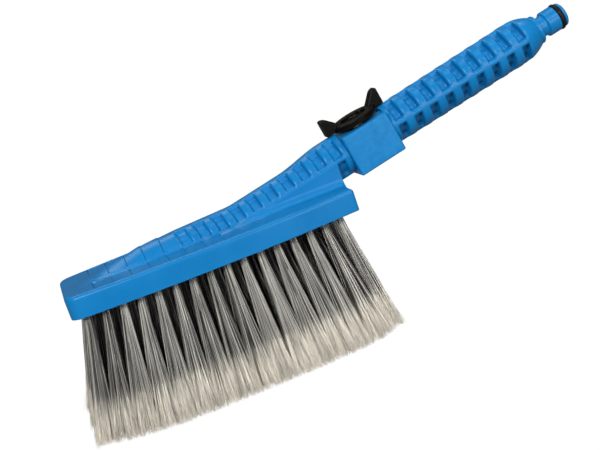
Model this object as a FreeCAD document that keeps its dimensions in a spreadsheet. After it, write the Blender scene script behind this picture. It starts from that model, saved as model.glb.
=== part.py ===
import FreeCAD, Part
import math
import os
import Sketcher

# Water-fed wash brush: a bristle block with a ribbed neck, a box valve with a winged knob,
# a ribbed grip and a hose nipple.  Sizes are in millimetres.
# Head frame: X runs from the block's free end towards the handle, Z = 0 is the block's top.
# Handle frame: its x runs along the handle from the point where the handle's axis passes over
# the block's handle end, and its z is square to the handle, upwards.

SIZES = {
    # brush block
    "block_length": 179.0,
    "block_width": 62.0,
    "side_bulge": 7.0,
    "block_depth": 13.6,
    "free_corner": 7.0,
    "handle_corner": 2.0,
    "top_edge_round": 1.9,
    "wall": 2.5,
    "plate_thickness": 6.0,
    "plate_gap": 0.04,
    "cell_depth": 0.8,
    "cell_first": 17.0,
    "cell_last": 97.0,
    "cell_half_span": 27.5,
    # spine that grows out of the block and becomes the neck
    "spine_start": 10.0,
    "spine_knee": 52.0,
    "spine_exit": 108.0,
    "spine_flank_base": -1.6,
    "spine_start_top": -0.8,
    "spine_knee_top": 7.2,
    "spine_half_height": 10.4,
    "rail_start": 15.5,
    "rail_width": 2.2,
    "rail_height": 0.9,
    "spine_swell_start": -33.0,
    "spine_swell_end": -2.0,
    "pocket_depth": 3.4,
    "faint_pocket_depth": 0.6,
    "web_half_width": 13.6,
    "web_foot_round": 5.0,
    # handle
    "handle_angle": 11.63,
    "axis_height": 14.58,
    "handle_radius": 13.4,
    "grip_end_radius": 14.2,
    "ring_pitch": 11.5,
    "ring_thickness": 5.2,
    "last_neck_ring": 8.0,
    "rib_width": 4.4,
    # bristles and their plate
    "tufts_per_row": 16.0,
    "tuft_rows": 5.0,
    "tuft_first": 9.9,
    "tuft_pitch": 10.45,
    "row_pitch": 10.8,
    "row_share_of_bulge": 0.42,
    "tuft_hole_radius": 2.4,
    "tuft_hole_depth": 5.0,
    "tuft_root_radius": 2.3,
    "tuft_tip_radius": 5.0,
    "tuft_root_depth": 3.4,
    "tuft_length": 78.0,
    "tuft_free_dome": 5.0,
    "tuft_handle_dome": 4.5,
    "tuft_free_splay": 16.5,
    "tuft_handle_splay": 10.5,
    "tuft_side_splay": 11.0,
    "anchor_length": 4.2,
    "anchor_width": 2.2,
    "anchor_height": 1.2,
    "jet_radius": 1.0,
    # valve housing
    "box_start": 9.2,
    "box_end": 41.0,
    "box_drop": 15.3,
    "box_rise": 11.0,
    "box_width": 31.4,
    "box_round": 1.1,
    "spigot_length": 9.0,
    "spigot_radius": 7.6,
    "socket_radius": 7.65,
    "socket_spare": 0.5,
    "spigot_groove_radius": 6.3,
    "spigot_groove_start": 4.0,
    "spigot_groove_end": 6.0,
    "water_radius": 4.5,
    "valve_centre": 25.1,
    "plug_radius": 8.9,
    "plug_bore_radius": 8.95,
    "plug_top": 8.4,
    "plug_bottom": 9.4,
    "bore_floor": 9.5,
    "plug_groove_near": 5.5,
    "plug_groove_far": 7.3,
    "plug_groove_radius": 7.3,
    "clip_groove_radius": 9.8,
    "clip_groove_start": 8.5,
    "clip_groove_end": 9.5,
    "clip_lap": 0.9,
    "clip_opening": 4.0,
    "clip_eye_radius": 1.3,
    "clip_eye_hole": 0.55,
    "seat_radius": 7.0,
    "seat_pocket_radius": 7.03,
    "seat_half_span": 11.9,
    "stem_half": 3.2,
    "stem_top": 13.0,
    "stem_gap": 0.03,
    "screw_core_radius": 1.2,
    "screw_hole_radius": 1.25,
    "screw_hole_floor": 7.4,
    "screw_tip": 7.7,
    # knob
    "knob_hub_bottom": 11.4,
    "knob_hub_radius": 6.5,
    "knob_bottom": 12.7,
    "knob_rim": 16.6,
    "knob_radius": 14.4,
    "recess_radius": 8.75,
    "recess_floor": 14.6,
    "ear_bottom": 13.9,
    "ear_top": 24.8,
    "ear_outer": 20.6,
    "ear_top_inner": 17.2,
    "ear_foot": 9.3,
    "ear_thickness": 7.0,
    "screw_head_radius": 3.0,
    "screw_head_top": 16.4,
    "screw_head_round": 0.6,
    "drive_arm": 1.9,
    "drive_half": 0.4,
    "drive_depth": 1.0,
    "screw_clear_radius": 1.6,
    # grip and hose nipple, along the handle
    "grip_first_pocket": 44.1,
    "grip_pocket_floor": 9.6,
    "grip_shoulder": 147.2,
    "grip_shoulder_round": 7.0,
    "grip_end": 153.0,
    "grip_end_tip_radius": 10.4,
    "grip_bore_radius": 6.6,
    "nipple_tail": 141.0,
    "nipple_tail_radius": 8.0,
    "nipple_socket_radius": 8.04,
    "seal_groove_start": 145.0,
    "seal_groove_end": 147.2,
    "seal_groove_radius": 6.5,
    "flange_end": 155.8,
    "flange_radius": 9.5,
    "waist_radius": 6.6,
    "waist_end": 160.6,
    "collar_start": 161.6,
    "collar_radius": 8.2,
    "ring_groove_start": 169.4,
    "ring_groove_end": 173.0,
    "ring_groove_radius": 5.5,
    "nose_radius": 7.85,
    "nose_end": 174.3,
    "nipple_end": 175.2,
    "nipple_end_radius": 6.9,
    "nipple_bore_radius": 4.8,
    "nipple_core_radius": 4.5,
    "nipple_bore_start": 157.0,
}

document = FreeCAD.newDocument("wash_brush")
sheet = document.addObject("Spreadsheet::Sheet", "sizes")
for row, (alias, number) in enumerate(SIZES.items(), start=1):
    sheet.set(f"A{row}", alias)
    sheet.set(f"B{row}", str(number))
    sheet.setAlias(f"B{row}", alias)
document.recompute()

SUBPARTS = []


# ---------------------------------------------------------------- sheet sizes and formulas

def size(alias):
    """A driving dimension, read back from the sheet."""
    return float(getattr(sheet, alias))


def term_value(term):
    """The value of one term: a number, an alias, or number*alias."""
    if "*" in term:
        factor, alias = term.split("*")
        return float(factor) * size(alias)
    if term[0].isdigit():
        return float(term)
    return size(term)


def term_formula(term):
    """The same term as a sheet formula."""
    if "*" in term:
        factor, alias = term.split("*")
        return f"{factor} * sizes.{alias}"
    if term[0].isdigit():
        return term
    return f"sizes.{term}"


def amount(words):
    """The value of a sum such as "- box_drop + 2*ring_pitch"."""
    total = 0.0
    sign = 1.0
    for token in words.split():
        if token in "+-":
            sign = 1.0 if token == "+" else -1.0
        else:
            total += sign * term_value(token)
    return total


def formula(words):
    """The same sum as an expression for setExpression."""
    return " ".join(token if token in "+-" else term_formula(token) for token in words.split())


# ---------------------------------------------------------------- placements

def head_place():
    """Head frame: the block's own."""
    return FreeCAD.Placement()


def handle_place(along=0.0):
    """Handle frame, moved along the handle by a distance."""
    tilt = FreeCAD.Rotation(FreeCAD.Vector(0, 1, 0), -size("handle_angle"))
    start = FreeCAD.Vector(size("block_length"), 0, size("axis_height"))
    return FreeCAD.Placement(start + tilt.multVec(FreeCAD.Vector(along, 0, 0)), tilt)


def across_handle(along):
    """Handle frame turned so that the local z lies along the handle, for rings round it."""
    turn = FreeCAD.Rotation(FreeCAD.Vector(0, 1, 0), 90)
    return handle_place(along).multiply(FreeCAD.Placement(FreeCAD.Vector(), turn))


def valve_place(height=0.0):
    """Valve frame: the plug's axis is the local z."""
    lift = FreeCAD.Placement(FreeCAD.Vector(0, 0, height), FreeCAD.Rotation())
    return handle_place(size("valve_centre")).multiply(lift)


def keep(item, name, place):
    """Register an object as the sub-part called name, at its place."""
    item.Label = name
    item.Placement = place
    SUBPARTS.append(item)
    return item


# ---------------------------------------------------------------- PartDesign helpers

def new_body(name):
    return document.addObject("PartDesign::Body", name)


def origin_feature(body, role):
    return next(item for item in body.Origin.OriginFeatures if item.Role == role)


def new_sketch(body, name, plane, offset=None):
    sketch = body.newObject("Sketcher::SketchObject", name)
    sketch.AttachmentSupport = [(origin_feature(body, plane), "")]
    sketch.MapMode = "FlatFace"
    if offset is not None:
        sketch.AttachmentOffset = offset
    return sketch


def lifted(words):
    """An attachment offset square to the sketch's plane."""
    return FreeCAD.Placement(FreeCAD.Vector(0, 0, amount(words)), FreeCAD.Rotation())


def bind_point(sketch, line, point, direction, words):
    """Fix one coordinate of a point to a sum of sheet sizes."""
    distance = amount(words)
    if abs(distance) < 1e-9:
        axis = -2 if direction == "X" else -1
        sketch.addConstraint(Sketcher.Constraint("PointOnObject", line, point, axis))
        return
    kind = "Distance" + direction
    index = sketch.addConstraint(Sketcher.Constraint(kind, -1, 1, line, point, distance))
    sketch.setExpression(f"Constraints[{index}]", formula(words))


def add_outline(sketch, corners):
    """A closed outline of straight lines through corners given as sums of sheet sizes."""
    first = sketch.GeometryCount
    points = [FreeCAD.Vector(amount(x), amount(y), 0) for x, y in corners]
    count = len(points)
    for index, start in enumerate(points):
        sketch.addGeometry(Part.LineSegment(start, points[(index + 1) % count]), False)
    for index, (x, y) in enumerate(corners):
        line = first + index
        following = first + (index + 1) % count
        sketch.addConstraint(Sketcher.Constraint("Coincident", line, 2, following, 1))
        bind_point(sketch, line, 1, "X", x)
        bind_point(sketch, line, 1, "Y", y)


def add_circle(sketch, x, y, radius):
    """A circle whose centre and radius are sums of sheet sizes."""
    centre = FreeCAD.Vector(amount(x), amount(y), 0)
    normal = FreeCAD.Vector(0, 0, 1)
    line = sketch.addGeometry(Part.Circle(centre, normal, amount(radius)), False)
    index = sketch.addConstraint(Sketcher.Constraint("Radius", line, amount(radius)))
    sketch.setExpression(f"Constraints[{index}]", formula(radius))
    bind_point(sketch, line, 3, "X", x)
    bind_point(sketch, line, 3, "Y", y)


def revolve(body, name, corners, axis="H_Axis"):
    """A solid turned from an outline in the body's XZ plane."""
    sketch = new_sketch(body, name + "_outline", "XZ_Plane")
    add_outline(sketch, corners)
    feature = body.newObject("PartDesign::Revolution", name)
    feature.Profile = sketch
    feature.ReferenceAxis = (sketch, [axis])
    document.recompute()
    return feature


def pad(body, name, sketch, length, midplane=False):
    feature = body.newObject("PartDesign::Pad", name)
    feature.Profile = sketch
    feature.Midplane = midplane
    feature.setExpression("Length", formula(length))
    document.recompute()
    return feature


def pocket(body, name, sketch, length, midplane=False, upwards=True):
    """A pocket that must take material away."""
    before = body.Shape.Volume
    feature = body.newObject("PartDesign::Pocket", name)
    feature.Profile = sketch
    feature.Midplane = midplane
    feature.Reversed = upwards
    feature.setExpression("Length", formula(length))
    document.recompute()
    if body.Shape.Volume > before - 0.01:
        raise RuntimeError(name + " cuts nothing")
    return feature


def groove(body, name, corners, angle=360.0, offset=None):
    """A turned cut about the handle's axis that must take material away."""
    before = body.Shape.Volume
    sketch = new_sketch(body, name + "_outline", "XZ_Plane", offset)
    for outline in corners:
        add_outline(sketch, outline)
    feature = body.newObject("PartDesign::Groove", name)
    feature.Profile = sketch
    feature.ReferenceAxis = (sketch, ["H_Axis"])
    feature.Midplane = True
    feature.Angle = angle
    document.recompute()
    if body.Shape.Volume > before - 0.01:
        raise RuntimeError(name + " cuts nothing")
    return feature


def box_outline(start, end, inner, outer):
    """The four corners of a rectangle, as sums."""
    return [(start, inner), (end, inner), (end, outer), (start, outer)]


# ---------------------------------------------------------------- head shell

def box_between(low, high):
    """A plain box between two corners."""
    extent = [high[axis] - low[axis] for axis in range(3)]
    return Part.makeBox(*extent, FreeCAD.Vector(*low))


def side_bulge(x):
    """How far the block's long sides stand out past their ends, at a distance along it."""
    share = 2 * x / size("block_length") - 1
    return size("side_bulge") * (1 - share ** 2)


def corner_edges(solid, at_free_end):
    """The upright edges at one end of the block."""
    middle = size("block_length") / 2
    found = []
    for edge in solid.Edges:
        box = edge.BoundBox
        if box.ZLength > 1 and box.XLength < 0.1 and box.YLength < 0.1:
            if (edge.CenterOfMass.x < middle) == at_free_end:
                found.append(edge)
    return found


def block_solid(inset, top, bottom, corner_rounds):
    """The block's plan with its bowed sides, pulled in by an inset, between two heights."""
    start = inset
    end = size("block_length") - inset
    half = size("block_width") / 2 - inset
    middle = size("block_length") / 2
    widest = half + side_bulge(middle)
    ends = ((start, -half), (end, -half), (end, half), (start, half))
    corners = [FreeCAD.Vector(x, y, bottom) for x, y in ends]
    near = Part.Arc(corners[0], FreeCAD.Vector(middle, -widest, bottom), corners[1]).toShape()
    far = Part.Arc(corners[2], FreeCAD.Vector(middle, widest, bottom), corners[3]).toShape()
    held_end = Part.makeLine(corners[1], corners[2])
    free_end = Part.makeLine(corners[3], corners[0])
    outline = Part.Face(Part.Wire([near, held_end, far, free_end]))
    solid = outline.extrude(FreeCAD.Vector(0, 0, top - bottom))
    for corner_round, at_free_end in zip(corner_rounds, (True, False)):
        solid = solid.makeFillet(corner_round, corner_edges(solid, at_free_end))
    return solid


def plenum_solid(inset, top, bottom):
    """The space inside the block's walls."""
    corners = (size("free_corner") - inset, 0.5)
    return block_solid(inset, top, bottom, corners)


def spine_top(x):
    """Height of the spine's crest over the block's top, up to where the neck leaves it."""
    knee = size("spine_knee")
    start = size("spine_start")
    low = size("spine_start_top")
    middle = size("spine_knee_top")
    if x <= knee:
        return low + (middle - low) * (x - start) / (knee - start)
    leave = size("spine_exit")
    slope = math.tan(math.radians(size("handle_angle")))
    high = size("axis_height") + (leave - size("block_length")) * slope + size("spine_half_height")
    return middle + (high - middle) * (x - knee) / (leave - knee)


def ellipse_wire(place, half_width, half_height):
    """An upright ellipse in the local YZ plane of a placement."""
    turn = FreeCAD.Placement(FreeCAD.Vector(), FreeCAD.Rotation(
        FreeCAD.Vector(0, 1, 0), FreeCAD.Vector(0, 0, 1), FreeCAD.Vector(1, 0, 0)))
    wire = Part.Wire(Part.Ellipse(FreeCAD.Vector(), half_width, half_height).toShape())
    wire.Placement = place.multiply(turn)
    return wire


def spine_stations():
    """Places and half heights of the sections from the free end to the valve housing."""
    half = size("spine_half_height")
    stations = []
    start = size("spine_start")
    knee = size("spine_knee")
    leave = size("spine_exit")
    base = size("spine_flank_base")
    for x in (start, (start + knee) / 2, knee, (knee + leave) / 2, leave):
        rise = min(spine_top(x) - base, half)
        place = FreeCAD.Placement(FreeCAD.Vector(x, 0, spine_top(x) - rise), FreeCAD.Rotation())
        stations.append((place, rise))
    swell_start = size("spine_swell_start")
    swell_end = size("spine_swell_end")
    for along in (1.45 * swell_start, swell_start, (swell_start + swell_end) / 2, swell_end,
                  size("box_start")):
        share = min(max((along - swell_start) / (swell_end - swell_start), 0.0), 1.0)
        full = size("handle_radius") - 0.02
        stations.append((handle_place(along), half + (full - half) * share))
    return stations


def spine_solid(depths):
    """The spine and neck as one loft, pulled in by a depth at each station."""
    wires = []
    for (place, half_height), depth in zip(spine_stations(), depths):
        depth = min(depth, 0.5 * half_height)
        wires.append(ellipse_wire(place, size("handle_radius") - depth, half_height - depth))
    return Part.makeLoft(wires, True, False)


def side_profile(points, half_width):
    """A prism through points in the XZ plane, spread evenly to both sides."""
    corners = [FreeCAD.Vector(x, -half_width, z) for x, z in points]
    face = Part.Face(Part.makePolygon(corners + corners[:1]))
    return face.extrude(FreeCAD.Vector(0, 2 * half_width, 0))


def spine_foot(x):
    """Half the spine's width where it meets the block's top."""
    top = spine_top(x)
    rise = min(top - size("spine_flank_base"), size("spine_half_height"))
    sunk = max(rise - top, 0.0) / rise
    return size("handle_radius") * math.sqrt(1 - sunk * sunk)


def foot_rails():
    """The low ribs along both feet of the spine, between its pockets and the ledges' cells."""
    half = size("rail_width") / 2
    start = size("rail_start")
    leave = size("spine_exit")
    stops = (start, (3 * start + size("spine_knee")) / 4, (start + size("spine_knee")) / 2,
             size("spine_knee"), leave)
    under = -1.5 * size("cell_depth")
    rails = []
    for side in (-1, 1):
        inner = [FreeCAD.Vector(x, side * (spine_foot(x) - half), under) for x in stops]
        outer = [FreeCAD.Vector(x, side * (spine_foot(x) + half), under) for x in reversed(stops)]
        face = Part.Face(Part.makePolygon(inner + outer + inner[:1]))
        rails.append(face.extrude(FreeCAD.Vector(0, 0, size("rail_height") - under)))
    return rails


def web_profile():
    """Outline of the upright web that ties the neck to the block."""
    slope = math.tan(math.radians(size("handle_angle")))
    length = size("block_length")
    under = -size("wall")
    start = length - (size("axis_height") - under) / slope
    return [(start, under), (length, under), (length, size("axis_height"))]


def web_foot(side):
    """The concave fillet between the web and the block's top."""
    radius = size("web_foot_round")
    wall = size("web_half_width")
    centre = FreeCAD.Vector(0, side * (wall + radius), radius)
    low = FreeCAD.Vector(0, side * (wall + radius), 0)
    high = FreeCAD.Vector(0, side * wall, radius)
    corner = FreeCAD.Vector(0, side * (wall - 1), 0)
    upper_corner = FreeCAD.Vector(0, side * (wall - 1), radius)
    reach = radius / math.sqrt(2)
    middle = centre + FreeCAD.Vector(0, -side * reach, -reach)
    edges = [Part.makeLine(corner, low), Part.Arc(low, middle, high).toShape(),
             Part.makeLine(high, upper_corner), Part.makeLine(upper_corner, corner)]
    return Part.Face(Part.Wire(edges)).extrude(FreeCAD.Vector(size("block_length"), 0, 0))


def pocket_starts():
    """Distances along the handle at which the pockets between the rings begin."""
    pitch = size("ring_pitch")
    last = size("last_neck_ring")
    reach = size("block_length") / math.cos(math.radians(size("handle_angle")))
    count = int((reach - size("cell_first") + last) / pitch)
    return [last - pitch * (turn + 1) + size("ring_thickness") / 2 for turn in range(count)]


def neck_pockets():
    """The spaces between rings and lengthwise ribs, above the side ribs and under the neck."""
    length = size("ring_pitch") - size("ring_thickness")
    rib = size("rib_width") / 2
    reach = size("handle_radius") + 4
    tools = []
    for start in pocket_starts():
        for side in (-1, 1):
            low_y, high_y = sorted((side * rib, side * reach))
            tool = box_between((start, low_y, rib), (start + length, high_y, reach))
            tool.Placement = handle_place()
            tools.append(tool)
    below = pocket_starts()[0]
    for side in (-1, 1):
        low_y, high_y = sorted((side * rib, side * reach))
        tool = box_between((below, low_y, -reach), (below + length, high_y, -rib))
        tool.Placement = handle_place()
        beyond = box_between((size("block_length") + 0.6, -50, -50), (size("block_length") + 80, 50, 80))
        tools.append(tool.common(beyond))
    return tools


def ledge_cells():
    """The shallow cells on both ledges of the block."""
    cosine = math.cos(math.radians(size("handle_angle")))
    length = (size("ring_pitch") - size("ring_thickness") / 2) * cosine
    tools = []
    for start in pocket_starts():
        x = size("block_length") + start * cosine
        if size("cell_first") <= x <= size("cell_last"):
            for side in (-1, 1):
                reach = size("cell_half_span") + side_bulge(x)
                low_y, high_y = sorted((side * 1.0, side * reach))
                tools.append(box_between((x, low_y, -size("cell_depth")), (x + length, high_y, 5.0)))
    return tools


def water_way():
    """The bore from the valve's spigot down into the block's chamber."""
    place = handle_place()
    axis = place.Rotation.multVec(FreeCAD.Vector(1, 0, 0))
    slope = math.sin(math.radians(size("handle_angle")))
    deep = -(size("axis_height") + size("wall") + 1.0) / slope
    start = size("box_start") - size("spigot_length") - size("socket_spare")
    pipe_base = place.multVec(FreeCAD.Vector(deep, 0, 0))
    socket_base = place.multVec(FreeCAD.Vector(start, 0, 0))
    pipe = Part.makeCylinder(size("water_radius") + 0.5, start - deep + 0.5, pipe_base, axis)
    socket = Part.makeCylinder(size("socket_radius"), size("box_start") - start + 1, socket_base, axis)
    return pipe.fuse(socket)


def make_head_shell():
    depth = size("block_depth")
    wall = size("wall")
    block = block_solid(0.0, 0.0, -depth, (size("free_corner"), size("handle_corner")))
    top_edges = [edge for edge in block.Edges
                 if edge.BoundBox.ZMin > -0.01 and edge.BoundBox.ZLength < 0.01]
    block = block.makeFillet(size("top_edge_round"), top_edges)
    block = block.cut(Part.makeCompound(ledge_cells()))
    faint = size("faint_pocket_depth")
    full = size("pocket_depth")
    envelope = spine_solid([0.0] * 10)
    core = spine_solid([faint, faint, faint * 1.4, full * 0.8, full, full, full, full, full, full])
    above = box_between((-20, -60, -wall), (400, 60, 200))
    web = side_profile(web_profile(), size("web_half_width"))
    foot_room = side_profile(web_profile(), size("web_half_width") + size("web_foot_round") + 1)
    feet = [web_foot(side).common(foot_room) for side in (-1, 1)]
    pockets = Part.makeCompound(neck_pockets()).cut(core)
    above_block = box_between((-20, -60, 0.02), (400, 60, 200))
    pockets = pockets.common(above_block)
    neck = envelope.common(above).cut(pockets)
    shell = block.fuse([neck, web] + feet + foot_rails())
    chamber = plenum_solid(wall, -wall, -depth - 1)
    shell = shell.cut(chamber).cut(water_way())
    feature = document.addObject("Part::Feature", "head_shell")
    feature.Shape = shell
    keep(feature, "head_shell", head_place())


# ---------------------------------------------------------------- bristle plate and tufts

def plan_place(step, row):
    """A place in plan, counted in steps along the block and rows that follow its bowed sides."""
    middle_row = (size("tuft_rows") - 1) / 2
    x = size("tuft_first") + step * size("tuft_pitch")
    return x, (row - middle_row) * (size("row_pitch") + size("row_share_of_bulge") * side_bulge(x))


def tuft_columns(row):
    """Every second row has one tuft less, because its tufts stand between their neighbours'."""
    return int(size("tufts_per_row")) - row % 2


def tuft_root(column, row):
    """Root position of a tuft in plan."""
    return plan_place(column + 0.5 * (row % 2), row)


def make_bristle_plate():
    """The plate is a rounded slab with blind tuft holes below and water jets right through."""
    thickness = size("plate_thickness")
    depth = size("block_depth")
    inset = size("wall") + size("plate_gap")
    slab = plenum_solid(inset, -depth + thickness, -depth)
    tools = []
    columns = int(size("tufts_per_row"))
    rows = int(size("tuft_rows"))
    for row in range(rows):
        for column in range(tuft_columns(row)):
            x, y = tuft_root(column, row)
            base = FreeCAD.Vector(x, y, -depth - 1)
            tools.append(Part.makeCylinder(size("tuft_hole_radius"), size("tuft_hole_depth") + 1, base))
    for row in range(rows - 1):
        for column in range(0, columns - 1, 2):
            x, y = plan_place(column + 0.5, row + 0.5)
            base = FreeCAD.Vector(x, y, -depth - 1)
            tools.append(Part.makeCylinder(size("jet_radius"), thickness + 2, base))
    feature = document.addObject("Part::Feature", "bristle_plate")
    feature.Shape = slab.cut(Part.makeCompound(tools))
    keep(feature, "bristle_plate", head_place())


def tuft_tip(column, row):
    """Tip position of a tuft: the block's tufts fan out evenly to its ends and sides."""
    columns = size("tufts_per_row") - 1
    middle_row = (size("tuft_rows") - 1) / 2
    x, y = tuft_root(column, row)
    share = (column + 0.5 * (row % 2)) / columns
    splay = -size("tuft_free_splay") + share * (size("tuft_free_splay") + size("tuft_handle_splay"))
    end_share = abs(2 * share - 1)
    if share < 0.5:
        rise = size("tuft_free_dome") * end_share ** 4
    else:
        rise = size("tuft_handle_dome") * end_share ** 10
    tip_x = x + splay
    tip_y = y + size("tuft_side_splay") * (row - middle_row) / middle_row
    return tip_x, tip_y, -size("block_depth") - size("tuft_length") + rise


def circle_wire(x, y, z, radius):
    return Part.Wire(Part.makeCircle(radius, FreeCAD.Vector(x, y, z)))


def tuft_solid(column, row):
    """One tuft as a closed solid: a short root in its hole and a slanting cone below it."""
    x, y = tuft_root(column, row)
    tip_x, tip_y, tip_z = tuft_tip(column, row)
    radius = size("tuft_root_radius")
    mouth = -size("block_depth")
    wires = [circle_wire(x, y, mouth + size("tuft_root_depth"), radius),
             circle_wire(x, y, mouth, radius),
             circle_wire(tip_x, tip_y, tip_z, size("tuft_tip_radius"))]
    return Part.makeLoft(wires, True, True)


def make_tuft_rows():
    for row in range(int(size("tuft_rows"))):
        tufts = [tuft_solid(column, row) for column in range(tuft_columns(row))]
        name = f"tufts_row_{row + 1}"
        feature = document.addObject("Part::Feature", name)
        feature.Shape = Part.makeCompound(tufts)
        keep(feature, name, head_place())


def make_tuft_anchors():
    """Flat metal anchors, each lying across the bottom of its hole."""
    mouth = -size("block_depth")
    low_z = mouth + size("tuft_root_depth") + 0.1
    half_x = size("anchor_length") / 2
    half_y = size("anchor_width") / 2
    anchors = []
    for row in range(int(size("tuft_rows"))):
        for column in range(tuft_columns(row)):
            x, y = tuft_root(column, row)
            low = (x - half_x, y - half_y, low_z)
            high = (x + half_x, y + half_y, low_z + size("anchor_height"))
            anchors.append(box_between(low, high))
    feature = document.addObject("Part::Feature", "tuft_anchors")
    feature.Shape = Part.makeCompound(anchors)
    keep(feature, "tuft_anchors", head_place())


# ---------------------------------------------------------------- valve

def make_valve_body():
    body = new_body("valve_body")
    sketch = new_sketch(body, "housing_outline", "XZ_Plane")
    add_outline(sketch, box_outline("box_start", "box_end", "- box_drop", "box_rise"))
    housing = pad(body, "housing", sketch, "box_width", midplane=True)
    edges = body.newObject("PartDesign::Fillet", "housing_rounds")
    edges.Base = (housing, [f"Edge{index + 1}" for index in range(len(housing.Shape.Edges))])
    edges.setExpression("Radius", formula("box_round"))
    document.recompute()
    neck_tip = "box_start - spigot_length"
    grip_tip = "box_end + spigot_length"
    revolve(body, "spigots", [
        (neck_tip, "0"),
        (neck_tip, "spigot_radius"),
        ("box_start - spigot_groove_end", "spigot_radius"),
        ("box_start - spigot_groove_end", "spigot_groove_radius"),
        ("box_start - spigot_groove_start", "spigot_groove_radius"),
        ("box_start - spigot_groove_start", "spigot_radius"),
        ("box_end + spigot_groove_start", "spigot_radius"),
        ("box_end + spigot_groove_start", "spigot_groove_radius"),
        ("box_end + spigot_groove_end", "spigot_groove_radius"),
        ("box_end + spigot_groove_end", "spigot_radius"),
        (grip_tip, "spigot_radius"),
        (grip_tip, "0"),
    ])
    groove(body, "water_way", [[
        (neck_tip + " - 1", "0"),
        (neck_tip + " - 1", "water_radius"),
        ("valve_centre - seat_half_span", "water_radius"),
        ("valve_centre - seat_half_span", "seat_pocket_radius"),
        ("valve_centre + seat_half_span", "seat_pocket_radius"),
        ("valve_centre + seat_half_span", "water_radius"),
        (grip_tip + " + 1", "water_radius"),
        (grip_tip + " + 1", "0"),
    ]])
    bore = new_sketch(body, "plug_bore_outline", "XY_Plane", lifted("- bore_floor"))
    add_circle(bore, "valve_centre", "0", "plug_bore_radius")
    pocket(body, "plug_bore", bore, "bore_floor + box_rise + 1")
    ring = new_sketch(body, "clip_groove_outline", "XY_Plane", lifted("clip_groove_start"))
    add_circle(ring, "valve_centre", "0", "clip_groove_radius")
    pocket(body, "clip_groove", ring, "clip_groove_end - clip_groove_start")
    keep(body, "valve_body", handle_place())


def make_valve_plug():
    body = new_body("valve_plug")
    revolve(body, "plug", [
        ("0", "- plug_bottom"),
        ("plug_radius", "- plug_bottom"),
        ("plug_radius", "- plug_groove_far"),
        ("plug_groove_radius", "- plug_groove_far"),
        ("plug_groove_radius", "- plug_groove_near"),
        ("plug_radius", "- plug_groove_near"),
        ("plug_radius", "plug_groove_near"),
        ("plug_groove_radius", "plug_groove_near"),
        ("plug_groove_radius", "plug_groove_far"),
        ("plug_radius", "plug_groove_far"),
        ("plug_radius", "plug_top"),
        ("0", "plug_top"),
    ], "V_Axis")
    stem = new_sketch(body, "stem_outline", "XY_Plane", lifted("plug_top"))
    add_outline(stem, box_outline("- stem_half", "stem_half", "- stem_half", "stem_half"))
    pad(body, "stem", stem, "stem_top - plug_top")
    port = new_sketch(body, "port_outline", "YZ_Plane")
    add_circle(port, "0", "0", "water_radius")
    pocket(body, "port", port, "2*plug_radius + 2", midplane=True)
    hole = new_sketch(body, "screw_hole_outline", "XY_Plane", lifted("screw_hole_floor"))
    add_circle(hole, "0", "0", "screw_hole_radius")
    pocket(body, "screw_hole", hole, "stem_top - screw_hole_floor + 1")
    keep(body, "valve_plug", valve_place())


def make_valve_knob():
    body = new_body("valve_knob")
    disc = new_sketch(body, "disc_outline", "XY_Plane", lifted("knob_bottom"))
    add_circle(disc, "0", "0", "knob_radius")
    pad(body, "disc", disc, "knob_rim - knob_bottom")
    hub = new_sketch(body, "hub_outline", "XY_Plane", lifted("knob_hub_bottom"))
    add_circle(hub, "0", "0", "knob_hub_radius")
    pad(body, "hub", hub, "knob_bottom - knob_hub_bottom + 0.5")
    for side, sign in (("handle", ""), ("block", "- ")):
        ear = new_sketch(body, side + "_ear_outline", "XZ_Plane")
        add_outline(ear, [
            (sign + "ear_foot", "ear_bottom"),
            (sign + "ear_outer", "ear_bottom"),
            (sign + "ear_outer", "ear_top"),
            (sign + "ear_top_inner", "ear_top"),
            (sign + "ear_foot", "knob_rim"),
        ])
        pad(body, side + "_ear", ear, "ear_thickness", midplane=True)
    recess = new_sketch(body, "recess_outline", "XY_Plane", lifted("recess_floor"))
    add_circle(recess, "0", "0", "recess_radius")
    pocket(body, "recess", recess, "ear_top - recess_floor")
    socket = new_sketch(body, "stem_socket_outline", "XY_Plane", lifted("knob_hub_bottom - 1"))
    low = "- stem_half - stem_gap"
    high = "stem_half + stem_gap"
    add_outline(socket, box_outline(low, high, low, high))
    pocket(body, "stem_socket", socket, "stem_top - knob_hub_bottom + stem_gap + 1")
    hole = new_sketch(body, "screw_clearance_outline", "XY_Plane", lifted("knob_bottom"))
    add_circle(hole, "0", "0", "screw_clear_radius")
    pocket(body, "screw_clearance", hole, "recess_floor - knob_bottom + 1")
    keep(body, "valve_knob", valve_place())


def make_knob_screw():
    body = new_body("knob_screw")
    revolve(body, "screw", [
        ("0", "screw_tip"),
        ("screw_core_radius - screw_head_round", "screw_tip"),
        ("screw_core_radius", "screw_tip + 1"),
        ("screw_core_radius", "recess_floor"),
        ("screw_head_radius", "recess_floor"),
        ("screw_head_radius", "screw_head_top - 0.5"),
        ("screw_head_radius - screw_head_round", "screw_head_top"),
        ("0", "screw_head_top"),
    ], "V_Axis")
    cross = new_sketch(body, "drive_outline", "XY_Plane", lifted("screw_head_top - drive_depth"))
    arm = "drive_arm"
    half = "drive_half"
    minus_arm = "- " + arm
    minus_half = "- " + half
    add_outline(cross, [
        (minus_arm, minus_half), (minus_half, minus_half), (minus_half, minus_arm),
        (half, minus_arm), (half, minus_half), (arm, minus_half),
        (arm, half), (half, half), (half, arm),
        (minus_half, arm), (minus_half, half), (minus_arm, half),
    ])
    pocket(body, "drive", cross, "2*stem_half")
    keep(body, "knob_screw", valve_place())


def make_ring(name, centre_radius, section_radius, place):
    """An O-ring."""
    ring = document.addObject("Part::Torus", name)
    ring.setExpression("Radius1", centre_radius)
    ring.setExpression("Radius2", section_radius)
    keep(ring, name, place)


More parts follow.
